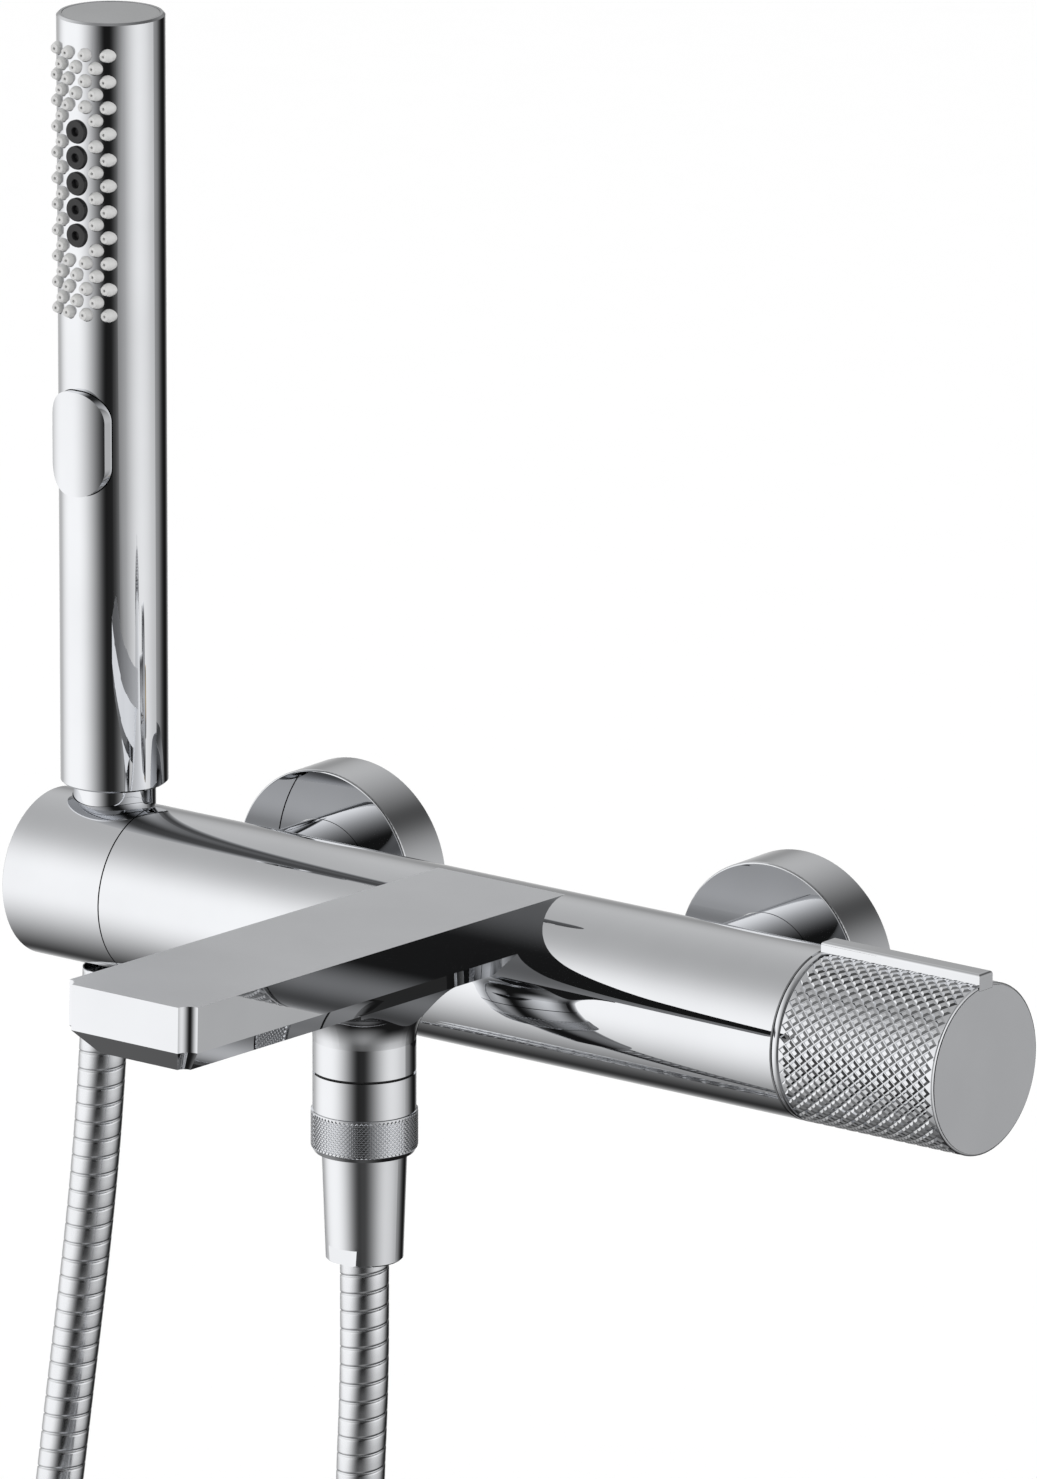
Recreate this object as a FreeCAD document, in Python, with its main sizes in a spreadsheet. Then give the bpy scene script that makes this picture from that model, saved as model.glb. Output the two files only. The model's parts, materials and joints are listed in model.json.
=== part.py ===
import FreeCAD, Part
import math
import os
import re
import Sketcher

# Wall mounted bath and shower mixer. Millimetres, +Z up, the wall is the plane y = 0 and the object
# stands out of it towards -Y. The origin lies on the wall, halfway between the two water inlets.

V = FreeCAD.Vector
X_AXIS = V(1, 0, 0)
Y_AXIS = V(0, 1, 0)
Z_AXIS = V(0, 0, 1)

doc = FreeCAD.newDocument("bath_mixer")
dims = doc.addObject("Spreadsheet::Sheet", "dims")
aliases = []
nodes = {}


# ---------------------------------------------------------------- the driving dimensions

DIMENSIONS = {
    # inlets and wall
    "inlet_half": 75.0,
    "axis_depth": 54.5,
    "flange_radius": 29.7,
    "flange_depth": 15.7,
    "neck_radius": 16.0,
    "wall_thread_radius": 10.48,
    "wall_thread_length": 14.0,
    # body
    "body_radius": 23.0,
    "body_left": -103.2,
    "body_right": 122.2,
    "chamber_radius": 16.0,
    "cartridge_bore": 19.5,
    "cartridge_seat": 86.0,
    # hand shower holder
    "holder_left": -136.8,
    "holder_right": -103.42,
    "trunnion_radius": 15.0,
    "trunnion_end": -86.0,
    "running_gap": 0.06,
    # hand shower
    "shower_x": -120.0,
    "shower_depth": 49.6,
    "shower_lift": -1.6,
    "shower_radius": 14.6,
    "shower_bore": 13.2,
    "shower_low": 28.6,
    "shower_top": 240.6,
    "hose_nut_radius": 11.2,
    "button_low": 110.8,
    "button_high": 139.5,
    "button_half": 9.0,
    "button_corner": 8.0,
    "button_radius": 17.1,
    "nozzle_centre": 196.3,
    "nozzle_pitch": 7.1,
    "nozzle_column": 2.8,
    "nozzle_reach": 1.8,
    # knob
    "knob_left": 122.6,
    "knob_right": 174.6,
    "knob_plate_radius": 22.3,
    "fin_half": 2.9,
    "fin_top": 26.15,
    "fin_round": 0.9,
    "stem_radius": 5.0,
    # spout
    "spout_x": 15.5,
    "spout_half": 21.25,
    "spout_reach": 158.2,
    "spout_tilt": 1.55,
    "spout_side": 12.2,
    "belly_depth": 6.4,
    "belly_inset": 6.0,
    "tip_corner": 3.6,
    "root_fillet": 4.0,
    "aerator_reach": 140.0,
    "aerator_radius": 11.5,
    # outlet under the spout
    "outlet_y": -112.6,
    "boss_radius": 13.7,
    "boss_low": -14.9,
    "flare_low": -6.5,
    "flare_radius": 12.0,
    "collar_top": -15.6,
    "ring_top": -25.7,
    "ring_low": -37.1,
    "ring_radius": 14.15,
    "cone_low": -66.8,
    "cone_low_radius": 10.27,
    "cone_top_radius": 11.3,
    # hose
    "hose_radius": 6.5,
    "coil_x": -60.7,
    "coil_y": -86.0,
    "coil_z": -238.0,
    "coil_turn_radius": 70.7,
    "coil_half_width": 23.0,
}

for row, (alias, number) in enumerate(DIMENSIONS.items(), start=1):
    dims.set(f"A{row}", alias)
    dims.set(f"B{row}", str(number))
    dims.setAlias(f"B{row}", alias)
    aliases.append(alias)
doc.recompute()


def ref(expression):
    """Turns the sheet's plain words in an expression into references to its cells."""
    return re.sub(r"[a-z][a-z_]+", lambda m: "dims." + m.group(0) if m.group(0) in aliases else m.group(0),
                  str(expression))


def value(expression):
    """The number that a sheet expression stands for now."""
    return float(dims.evalExpression(ref(expression)))


def place(obj, base, axis="z"):
    """Binds obj's place to the sheet and turns its own Z to the named axis."""
    turns = {
        "z": FreeCAD.Rotation(Z_AXIS, 0),
        "-z": FreeCAD.Rotation(X_AXIS, 180),
        "x": FreeCAD.Rotation(Y_AXIS, 90),
        "y": FreeCAD.Rotation(X_AXIS, -90),
        "-y": FreeCAD.Rotation(X_AXIS, 90),
    }
    obj.Placement = FreeCAD.Placement(V(*[value(b) for b in base]), turns[axis])
    for letter, expression in zip("xyz", base):
        obj.setExpression(f"Placement.Base.{letter}", ref(expression))
    return obj


def keep(name, obj):
    """Registers obj as the sub-part of that name."""
    obj.Label = name
    nodes[name] = obj
    return obj


# ---------------------------------------------------------------- shape helpers

def cylinder(name, radius, length, base, axis="z"):
    obj = doc.addObject("Part::Cylinder", name)
    obj.setExpression("Radius", ref(radius))
    obj.setExpression("Height", ref(length))
    return place(obj, base, axis)


def box(name, size, base):
    obj = doc.addObject("Part::Box", name)
    for side, expression in zip(("Length", "Width", "Height"), size):
        obj.setExpression(side, ref(expression))
    return place(obj, base)


def prism(name, corner_radius, length, base, axis="z"):
    """A hexagonal prism."""
    obj = doc.addObject("Part::Prism", name)
    obj.Polygon = 6
    obj.setExpression("Circumradius", ref(corner_radius))
    obj.setExpression("Height", ref(length))
    return place(obj, base, axis)


def fuse(name, *shapes):
    obj = doc.addObject("Part::MultiFuse", name)
    obj.Shapes = list(shapes)
    obj.Refine = True
    return obj


def cut(name, base, *tools):
    obj = doc.addObject("Part::Cut", name)
    obj.Base = base
    obj.Tool = tools[0] if len(tools) == 1 else fuse(name + "_tools", *tools)
    return obj


def common(name, first, second):
    obj = doc.addObject("Part::MultiCommon", name)
    obj.Shapes = [first, second]
    return obj


def rounded(name, base, radius, level):
    """Rounds the edges of base that lie wholly at one height."""
    doc.recompute()
    obj = doc.addObject("Part::Fillet", name)
    obj.Base = base
    size, height = value(radius), value(level)
    numbers = [number for number, edge in enumerate(base.Shape.Edges, start=1)
               if all(abs(vertex.Z - height) < 0.001 for vertex in edge.Vertexes)]
    obj.Edges = [(number, size, size) for number in numbers]
    return obj


def group(name, *shapes):
    """Several separate solids that share one node."""
    obj = doc.addObject("Part::Compound", name)
    obj.Links = list(shapes)
    return obj


def plane_of(body, role):
    return next(f for f in body.Origin.OriginFeatures if f.Role == role)


def outline(body, name, corners, role="XZ_Plane"):
    """A closed sketch on one of the body's own planes. Each corner is (across, up) or
    (across, up, radius): with a radius the edge that leaves it is an arc of that radius,
    bulging left of its way when the radius is positive and right of it when negative."""
    sketch = body.newObject("Sketcher::SketchObject", name)
    sketch.AttachmentSupport = [(plane_of(body, role), "")]
    sketch.MapMode = "FlatFace"
    points = [V(value(c[0]), value(c[1]), 0) for c in corners]
    count = len(points)
    turned = []
    for i, corner in enumerate(corners):
        a, b = points[i], points[(i + 1) % count]
        if len(corner) == 2:
            sketch.addGeometry(Part.LineSegment(a, b), False)
            turned.append((1, 2))
            continue
        radius = value(corner[2])
        half = (b - a) * 0.5
        side = V(-half.y, half.x, 0).normalize()
        rise = math.sqrt(max(radius ** 2 - half.Length ** 2, 0))
        centre = a + half - side * math.copysign(rise, radius)
        first, last = (b, a) if radius > 0 else (a, b)
        start = math.atan2(first.y - centre.y, first.x - centre.x)
        stop = math.atan2(last.y - centre.y, last.x - centre.x)
        circle = Part.Circle(centre, Z_AXIS, abs(radius))
        finish = stop if stop > start else stop + 2 * math.pi
        sketch.addGeometry(Part.ArcOfCircle(circle, start, finish), False)
        turned.append((2, 1) if radius > 0 else (1, 2))
    for i in range(count):
        following = (i + 1) % count
        meet = Sketcher.Constraint("Coincident", i, turned[i][1], following, turned[following][0])
        sketch.addConstraint(meet)
    for i, corner in enumerate(corners):
        for kind, coordinate, expression in (("DistanceX", points[i].x, corner[0]),
                                             ("DistanceY", points[i].y, corner[1])):
            index = sketch.addConstraint(Sketcher.Constraint(kind, i, turned[i][0], coordinate))
            sketch.setExpression(f"Constraints[{index}]", ref(expression))
        if len(corner) == 3:
            radius = abs(value(corner[2]))
            index = sketch.addConstraint(Sketcher.Constraint("Radius", i, radius))
            sketch.setExpression(f"Constraints[{index}]", ref(f"abs({corner[2]})"))
    return sketch


def lathe(name, corners, base=("0", "0", "0"), axis="z"):
    """A turned piece: the outline (radius, height) goes round the body's own Z."""
    body = doc.addObject("PartDesign::Body", name)
    sketch = outline(body, name + "_profile", corners)
    turn = body.newObject("PartDesign::Revolution", name + "_turn")
    turn.Profile = sketch
    turn.ReferenceAxis = (sketch, ["V_Axis"])
    turn.Angle = 360
    sketch.Visibility = False
    return place(body, base, axis)


def tube(name, outer, inner, low, high, centre=("0", "0"), axis="z"):
    """A plain ring between two heights on a vertical, X or Y axis."""
    base = {"z": (*centre, "0")[:3], "x": ("0", *centre), "y": (centre[0], "0", centre[1])}
    return lathe(name, [(inner, low), (outer, low), (outer, high), (inner, high)], base[axis], axis)


BODY_AXIS = ("0", "-axis_depth", "0")
HOLDER_AXIS = ("shower_x", "-shower_depth", "0")
SHOWER_AXIS = ("shower_x", "-shower_depth", "shower_lift")
OUTLET_AXIS = ("spout_x", "outlet_y", "0")


# ---------------------------------------------------------------- body casting with the spout

def tilted(obj, base=("spout_x", "-axis_depth", "0")):
    """The spout leans up by its tilt about the body's axis."""
    lean = FreeCAD.Rotation(X_AXIS, -value("spout_tilt"))
    obj.Placement = FreeCAD.Placement(V(*[value(b) for b in base]), lean)
    return obj


def spout_blank():
    """Flat top touching the crown of the body, upright sides and a bevelled belly."""
    def plan(body, name, inset, corner):
        half = f"(spout_half - {inset})"
        reach = f"(spout_reach - {inset})"
        return outline(body, name, [
            (f"-{half}", "0"), (f"-{half}", f"{corner} - {reach}", f"{corner}"),
            (f"{corner} - {half}", f"-{reach}"), (f"{half} - {corner}", f"-{reach}", f"{corner}"),
            (half, f"{corner} - {reach}"), (half, "0")], "XY_Plane")

    body = doc.addObject("PartDesign::Body", "spout_blank")
    upper = plan(body, "spout_sides", "0", "tip_corner")
    upper.setExpression("AttachmentOffset.Base.z", ref("body_radius - spout_side"))
    sides = body.newObject("PartDesign::Pad", "spout_pad")
    sides.Profile = upper
    sides.setExpression("Length", ref("spout_side"))
    edge = plan(body, "belly_top", "0", "tip_corner")
    edge.setExpression("AttachmentOffset.Base.z", ref("body_radius - spout_side"))
    lower = plan(body, "belly_bottom", "belly_inset", "2.4")
    lower.setExpression("AttachmentOffset.Base.z", ref("body_radius - spout_side - belly_depth"))
    belly = body.newObject("PartDesign::AdditiveLoft", "spout_belly")
    belly.Profile = edge
    belly.Sections = [lower]
    belly.Ruled = True
    return tilted(body)


def root_fillets():
    """Rounded inside corners where the spout's two sides run into the body."""
    rings = []
    for name, side in (("left_root", "-1"), ("right_root", "1")):
        face = f"spout_x + {side} * spout_half"
        inner = f"{face} - {side} * 8"
        toe = f"{face} + {side} * root_fillet"
        low, high = "body_radius - 3", "body_radius + root_fillet"
        corners = [(low, inner), (high, inner), (high, face, f"{side} * root_fillet"),
                   ("body_radius", toe), (low, toe)]
        rings.append(lathe(name, corners, BODY_AXIS, "x"))
    ring = fuse("root_rings", *rings)
    slab = tilted(box("root_slab", ("80", "60", "spout_side + belly_depth"), ("0", "0", "0")))
    depth = value("body_radius - spout_side - belly_depth")
    slab.Placement = slab.Placement.multiply(FreeCAD.Placement(V(-40, -60, depth), FreeCAD.Rotation()))
    return common("root_fillets", ring, slab)


def outlet_flare():
    """The boss under the spout, which opens into its belly and is as wide as the belly's flat."""
    corners = [("0", "boss_low"), ("boss_radius", "boss_low"),
               ("boss_radius", "flare_low", "flare_radius"),
               ("boss_radius + flare_radius", "flare_low + flare_radius"),
               ("boss_radius + flare_radius", "flare_low + 16"), ("0", "flare_low + 16")]
    flare = lathe("outlet_flare", corners, OUTLET_AXIS)
    width = "2 * (spout_half - belly_inset)"
    trim = box("flare_trim", (width, "60", "60"),
               ("spout_x - spout_half + belly_inset", "outlet_y - 30", "-40"))
    return common("outlet_boss", flare, trim)


def body_casting():
    outer = lathe("body_bar", [("0", "body_left"), ("body_radius - 0.2", "body_left"),
                               ("body_radius", "body_left + 0.2"), ("body_radius", "body_right - 0.3"),
                               ("body_radius - 0.3", "body_right"), ("0", "body_right")], BODY_AXIS, "x")
    skin = fuse("casting_skin", outer, spout_blank(), root_fillets(), outlet_flare())
    hollows = [
        cylinder("trunnion_bore", "trunnion_radius + running_gap", "trunnion_end - body_left + 0.5",
                 ("body_left", "-axis_depth", "0"), "x"),
        cylinder("water_chamber", "chamber_radius", "126", ("-50", "-axis_depth", "0"), "x"),
        cylinder("cartridge_pocket", "cartridge_bore", "body_right - cartridge_seat",
                 ("cartridge_seat", "-axis_depth", "0"), "x"),
        cylinder("chamber_passage", "8", "20", ("70", "-axis_depth", "0"), "x"),
        cylinder("cross_drilling", "5", "32", ("-80", "-axis_depth", "0"), "x"),
        cylinder("outlet_drilling", "6.5", "29", ("spout_x", "outlet_y", "boss_low"), "z"),
        tilted_hole("aerator_pocket", "aerator_radius", "0", "9"),
        spout_channel(),
        cylinder("stop_screw_hole", "2.5", "12", ("-91", "-axis_depth", "-body_radius"), "z"),
    ]
    for side, sign in (("left", "-1"), ("right", "1")):
        hollows.append(cylinder(f"{side}_port", "8", "axis_depth",
                                (f"{sign} * inlet_half", "-axis_depth", "0"), "y"))
    bored = cut("casting_bored", skin, *hollows)
    return keep("body_casting", bored)


def tilted_hole(name, radius, low, depth):
    """An upright hole in the spout's underside near its tip, square to the tilted belly."""
    hole = cylinder(name, radius, depth, ("0", "0", "0"))
    base = value("body_radius - spout_side - belly_depth")
    lift = FreeCAD.Placement(V(0, -value("aerator_reach"), base + value(low)), FreeCAD.Rotation())
    frame = FreeCAD.Placement(V(value("spout_x"), -value("axis_depth"), 0),
                              FreeCAD.Rotation(X_AXIS, -value("spout_tilt")))
    for letter in "xyz":
        hole.setExpression(f"Placement.Base.{letter}", None)
    hole.Placement = frame.multiply(lift)
    return hole


def spout_channel():
    """The waterway inside the spout, from the body's chamber to the aerator."""
    channel = box("spout_channel", ("26", "spout_reach - 6", "9.5"), ("0", "0", "0"))
    for letter in "xyz":
        channel.setExpression(f"Placement.Base.{letter}", None)
    floor = value("body_radius - spout_side - belly_depth") + 6
    shift = FreeCAD.Placement(V(-13, -value("spout_reach - 6"), floor), FreeCAD.Rotation())
    frame = FreeCAD.Placement(V(value("spout_x"), -value("axis_depth"), 0),
                              FreeCAD.Rotation(X_AXIS, -value("spout_tilt")))
    channel.Placement = frame.multiply(shift)
    return channel


def aerator():
    """A threaded shell and the flow straightener in it, flush with the spout's belly."""
    frame = FreeCAD.Placement(V(value("spout_x"), -value("axis_depth"), 0),
                              FreeCAD.Rotation(X_AXIS, -value("spout_tilt")))
    lift = FreeCAD.Placement(V(0, -value("aerator_reach"), value("body_radius - spout_side - belly_depth")),
                             FreeCAD.Rotation())
    shell = lathe("aerator_housing", [("9.5", "0.3"), ("aerator_radius - 0.05", "0.3"),
                                      ("aerator_radius - 0.05", "8.5"), ("8.5", "8.5"), ("8.5", "7"),
                                      ("9.5", "7")])
    disc = cylinder("straightener_disc", "9.4", "5", ("0", "0", "1.2"))
    holes = []
    for ring, count in ((3.0, 6), (6.6, 12)):
        for step in range(count):
            angle = 2 * math.pi * step / count
            holes.append(cylinder(f"jet_{ring:.0f}_{step}", "1", "7",
                                  (f"{ring * math.cos(angle):.4f}", f"{ring * math.sin(angle):.4f}", "0")))
    core = cut("aerator_insert", disc, *holes)
    for piece in (shell, core):
        for letter in "xyz":
            piece.setExpression(f"Placement.Base.{letter}", None)
        piece.Placement = frame.multiply(lift)
    keep("aerator_housing", shell)
    keep("aerator_insert", core)


# ---------------------------------------------------------------- wall connections

def wall_connection(side, sign):
    """Union, gasket, filter, nut, neck sleeve and flange of one inlet."""
    centre = (f"{sign} * inlet_half", "0")
    column = (centre[0], "0", "0")
    keep(f"s_union_{side}", lathe(f"s_union_{side}", [
        ("7", "-17"), ("10.4", "-17"), ("10.4", "-7"), ("12.5", "-7"), ("12.5", "-1"),
        ("wall_thread_radius", "-1"), ("wall_thread_radius", "wall_thread_length"),
        ("7", "wall_thread_length")], column, "y"))
    nut = prism(f"union_hex_{side}", "15", "14", (centre[0], "-24", "0"), "y")
    hole = cylinder(f"union_bore_{side}", "10.45", "11.5", (centre[0], "-21.5", "0"), "y")
    throat = cylinder(f"union_throat_{side}", "9.1", "6", (centre[0], "-26", "0"), "y")
    keep(f"union_nut_{side}", cut(f"union_nut_{side}", nut, hole, throat))
    keep(f"inlet_tail_{side}", lathe(f"inlet_tail_{side}", [
        ("6.5", "-42"), ("7.9", "-42"), ("7.9", "-31"), ("9", "-30"), ("9", "-21.4"), ("10.3", "-21.4"),
        ("10.3", "-19.6"), ("6.5", "-19.6")], column, "y"))
    keep(f"inlet_gasket_{side}", tube(f"inlet_gasket_{side}", "10.2", "6.8", "-19.5", "-17.1", centre, "y"))
    keep(f"inlet_filter_{side}", tube(f"inlet_filter_{side}", "6.7", "1", "-19", "-17.6", centre, "y"))
    sleeve = tube(f"neck_tube_{side}", "neck_radius", "neck_radius - 0.7", "-44", "-flange_depth + 1.5",
                  centre, "y")
    saddle = cylinder(f"neck_saddle_{side}", "body_radius + 0.05", "60",
                      (f"{sign} * inlet_half - 30", "-axis_depth", "0"), "x")
    keep(f"neck_sleeve_{side}", cut(f"neck_sleeve_{side}", sleeve, saddle))
    keep(f"wall_flange_{side}", lathe(f"wall_flange_{side}", [
        ("neck_radius + 0.1", "-flange_depth"), ("flange_radius - 0.6", "-flange_depth", "-0.6"),
        ("flange_radius", "0.6 - flange_depth"), ("flange_radius", "0"), ("flange_radius - 1.2", "0"),
        ("flange_radius - 1.2", "1.4 - flange_depth"), ("neck_radius + 0.1", "1.4 - flange_depth")],
        column, "y"))


# ---------------------------------------------------------------- cartridge and knob

def cartridge():
    """Progressive cartridge in the body's right end: the knob's stem turns its moving disc."""
    keep("cartridge_housing", lathe("cartridge_housing", [
        ("15", "cartridge_seat + 2"), ("19.3", "cartridge_seat + 2"), ("19.3", "111"),
        ("stem_radius + running_gap", "111"), ("stem_radius + running_gap", "107"), ("7", "107"),
        ("7", "104"), ("15", "104")], BODY_AXIS, "x"))
    keep("cartridge_gasket", tube("cartridge_gasket", "19", "9", "cartridge_seat", "cartridge_seat + 1.9",
                                  BODY_AXIS[1:], "x"))
    disc = cylinder("fixed_disc_blank", "14.8", "5", ("cartridge_seat + 2.2", "-axis_depth", "0"), "x")
    ports = [cylinder(f"fixed_port_{n}", "3", "9", ("cartridge_seat", f"-axis_depth + {dy}", dz), "x")
             for n, (dy, dz) in enumerate((("7.5", "0"), ("-3.8", "6.5"), ("-3.8", "-6.5")))]
    keep("ceramic_disc_fixed", cut("ceramic_disc_fixed", disc, *ports))
    keep("ceramic_disc_moving", lathe("ceramic_disc_moving", [
        ("0", "cartridge_seat + 7.3"), ("14", "cartridge_seat + 7.3"), ("14", "cartridge_seat + 12"),
        ("0", "cartridge_seat + 12")], BODY_AXIS, "x"))
    keep("knob_stem", lathe("knob_stem", [
        ("0", "cartridge_seat + 12.1"), ("10", "cartridge_seat + 12.1"), ("10", "103.5"),
        ("stem_radius", "103.5"), ("stem_radius", "148"), ("0", "148")], BODY_AXIS, "x"))
    keep("stem_seal", tube("stem_seal", "6.9", "stem_radius + running_gap", "104.2", "106.8",
                           BODY_AXIS[1:], "x"))
    keep("cartridge_nut", lathe("cartridge_nut", [
        ("9", "111.1"), ("19.4", "111.1"), ("19.4", "118"), ("9", "118")], BODY_AXIS, "x"))


def knob():
    """Sleeve with the gripping surface, end plate, fin, hub and the screws that hold them."""
    shell = lathe("knob_shell", [
        ("20.4", "knob_left"), ("body_radius - 0.3", "knob_left"), ("body_radius", "knob_left + 0.3"),
        ("body_radius", "knob_right - 0.5"), ("body_radius - 0.3", "knob_right - 0.2"),
        ("knob_plate_radius + 0.05", "knob_right - 0.2"), ("knob_plate_radius + 0.05", "knob_right - 2"),
        ("20.4", "knob_right - 2")], BODY_AXIS, "x")
    groove = box("fin_groove", ("knob_right - knob_left + 2", "2 * fin_half + 0.1", "6"),
                 ("knob_left - 1", "-axis_depth - fin_half - 0.05", "21.55"))
    screw_places = ("135", "162")
    holes = [cylinder(f"fin_screw_hole_{n}", "1.6", "6", (place_x, "-axis_depth", "18"))
             for n, place_x in enumerate(screw_places)]
    grub_hole = cylinder("grub_hole", "2.05", "6", ("140", "-axis_depth", "-24"))
    keep("knob_sleeve", cut("knob_sleeve", shell, groove, grub_hole, *holes))
    plate = lathe("knob_plate_blank", [
        ("0", "knob_right - 1.95"), ("knob_plate_radius", "knob_right - 1.95"),
        ("knob_plate_radius", "knob_right"), ("0", "knob_right")], BODY_AXIS, "x")
    notch = box("plate_notch", ("6", "2 * fin_half + 0.1", "6"),
                ("knob_right - 4", "-axis_depth - fin_half - 0.05", "21.55"))
    keep("knob_end_plate", cut("knob_end_plate", plate, notch))
    bar = box("fin_bar", ("knob_right - knob_left - 0.9", "2 * fin_half", "fin_top - 21.6"),
              ("knob_left + 0.9", "-axis_depth - fin_half", "21.6"))
    taps = [cylinder(f"fin_tap_{n}", "1.5", "3", (place_x, "-axis_depth", "21"))
            for n, place_x in enumerate(screw_places)]
    keep("knob_fin", cut("knob_fin", rounded("fin_rounded", bar, "fin_round", "fin_top"), *taps))
    hub = lathe("knob_hub_blank", [
        ("stem_radius + 0.02", "126"), ("20.3", "126"), ("20.3", "152"), ("0", "152"), ("0", "148.2"),
        ("stem_radius + 0.02", "148.2")], BODY_AXIS, "x")
    pockets = [cylinder("hub_screw_pocket", "3.2", "12", ("135", "-axis_depth", "9")),
               cylinder("hub_grub_hole", "2.05", "18", ("140", "-axis_depth", "-22"))]
    keep("knob_hub", cut("knob_hub", hub, *pockets))
    keep("hub_grub_screw", cylinder("hub_grub_screw", "2", "14.5", ("140", "-axis_depth", "-19.6")))
    heads = []
    for n, place_x in enumerate(screw_places):
        shank = cylinder(f"fin_shank_{n}", "1.45", "6", (place_x, "-axis_depth", "17.6"))
        head = cylinder(f"fin_head_{n}", "2.8", "1.8", (place_x, "-axis_depth", "17"))
        heads.append(fuse(f"fin_screw_{n}", shank, head))
    keep("fin_screws", group("fin_screws", *heads))


# ---------------------------------------------------------------- hand shower holder

def holder():
    """The body's left end section. It turns on a trunnion in the body and carries the hand shower."""
    turned = lathe("holder_trunnion", [
        ("0", "-110"), ("trunnion_radius", "-110"), ("trunnion_radius", "-100.6"), ("13.2", "-100.6"),
        ("13.2", "-98.2"), ("trunnion_radius", "-98.2"), ("trunnion_radius", "-93.8"), ("13", "-93.8"),
        ("13", "-88.2"), ("trunnion_radius", "-88.2"), ("trunnion_radius", "trunnion_end"),
        ("0", "trunnion_end")], BODY_AXIS, "x")
    drum = lathe("holder_drum", [
        ("0", "holder_left"), ("body_radius - 0.4", "holder_left"), ("body_radius", "holder_left + 0.4"),
        ("body_radius", "holder_right"), ("0", "holder_right")], BODY_AXIS, "x")
    socket = cylinder("holder_socket", "hose_nut_radius + 0.2", "20", ("shower_x", "-shower_depth", "10"))
    pocket = cylinder("holder_bush_pocket", "12.05", "38", ("shower_x", "-shower_depth", "-25"))
    keep("holder_body", cut("holder_body", fuse("holder_blank", drum, turned), socket, pocket))
    keep("holder_bush", lathe("holder_bush", [
        ("9.4", "-12"), ("12", "-12"), ("12", "12.9"), ("hose_nut_radius + 0.15", "12.9")], HOLDER_AXIS))
    keep("trunnion_seal", tube("trunnion_seal", "trunnion_radius + 0.02", "13.25", "-100.5", "-98.3",
                               BODY_AXIS[1:], "x"))
    keep("holder_stop_screw", cylinder("holder_stop_screw", "2.45", "8.6", ("-91", "-axis_depth", "-22.4")))


# ---------------------------------------------------------------- hand shower

def nozzle_places():
    """Where the spray nozzles stand: (column, row), in column steps and in pitches from the middle."""
    ends = {0: (-4.5, -3.5, 3.5, 4.5), 1: (-5, -4, -3, 3, 4, 5)}
    ends[2] = [row - 4.5 for row in range(10)]
    ends[3] = [row - 5 for row in range(11)]
    places = [(0, row) for row in ends[0]]
    for column in (1, 2, 3):
        places += [(side * column, row) for side in (-1, 1) for row in ends[column]]
    return places


JET_PLACES = [(0, row) for row in (-2, -1, 0, 1, 2)]


def behind_button(depth):
    """A point level with the middle of the button, this far in front of the hand shower's axis."""
    return ("shower_x", f"-shower_depth - {depth}", "(button_low + button_high) / 2 + shower_lift")


def pegs(name, foot_radius, tip_radius, reach, depth, places):
    """Pegs that all face -Y and end a little in front of the round tube, one at each place."""
    made = []
    for column, row in places:
        across = value("nozzle_column") * column
        front = math.sqrt(value("shower_radius") ** 2 - across ** 2) + value(reach)
        peg = doc.addObject("Part::Cone", f"{name}_{len(made)}")
        peg.setExpression("Radius1", ref(foot_radius))
        peg.setExpression("Radius2", ref(tip_radius))
        peg.Height = front - depth
        foot = V(value("shower_x") + across, -value("shower_depth") - depth,
                 value("nozzle_centre + shower_lift") + row * value("nozzle_pitch"))
        peg.Placement = FreeCAD.Placement(foot, FreeCAD.Rotation(X_AXIS, 90))
        made.append(peg)
    return made


def pill(name, grow, depth_from, depth_to):
    """A round-ended bar that faces -Y, as tall and wide as the button plus grow on each side."""
    body = doc.addObject("PartDesign::Body", name)
    half, corner = f"(button_half + {grow})", f"(button_corner + {grow})"
    low, high = f"(button_low - {grow})", f"(button_high + {grow})"
    sketch = outline(body, name + "_face", [
        (f"{corner} - {half}", low), (f"{half} - {corner}", low, f"-{corner}"), (half, f"{low} + {corner}"),
        (half, f"{high} - {corner}", f"-{corner}"), (f"{half} - {corner}", high),
        (f"{corner} - {half}", high, f"-{corner}"), (f"-{half}", f"{high} - {corner}"),
        (f"-{half}", f"{low} + {corner}", f"-{corner}")])
    pad = body.newObject("PartDesign::Pad", name + "_pad")
    pad.Profile = sketch
    pad.setExpression("Length", ref(f"{depth_to} - {depth_from}"))
    return place(body, ("shower_x", f"-shower_depth - {depth_from}", "shower_lift"))


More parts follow.
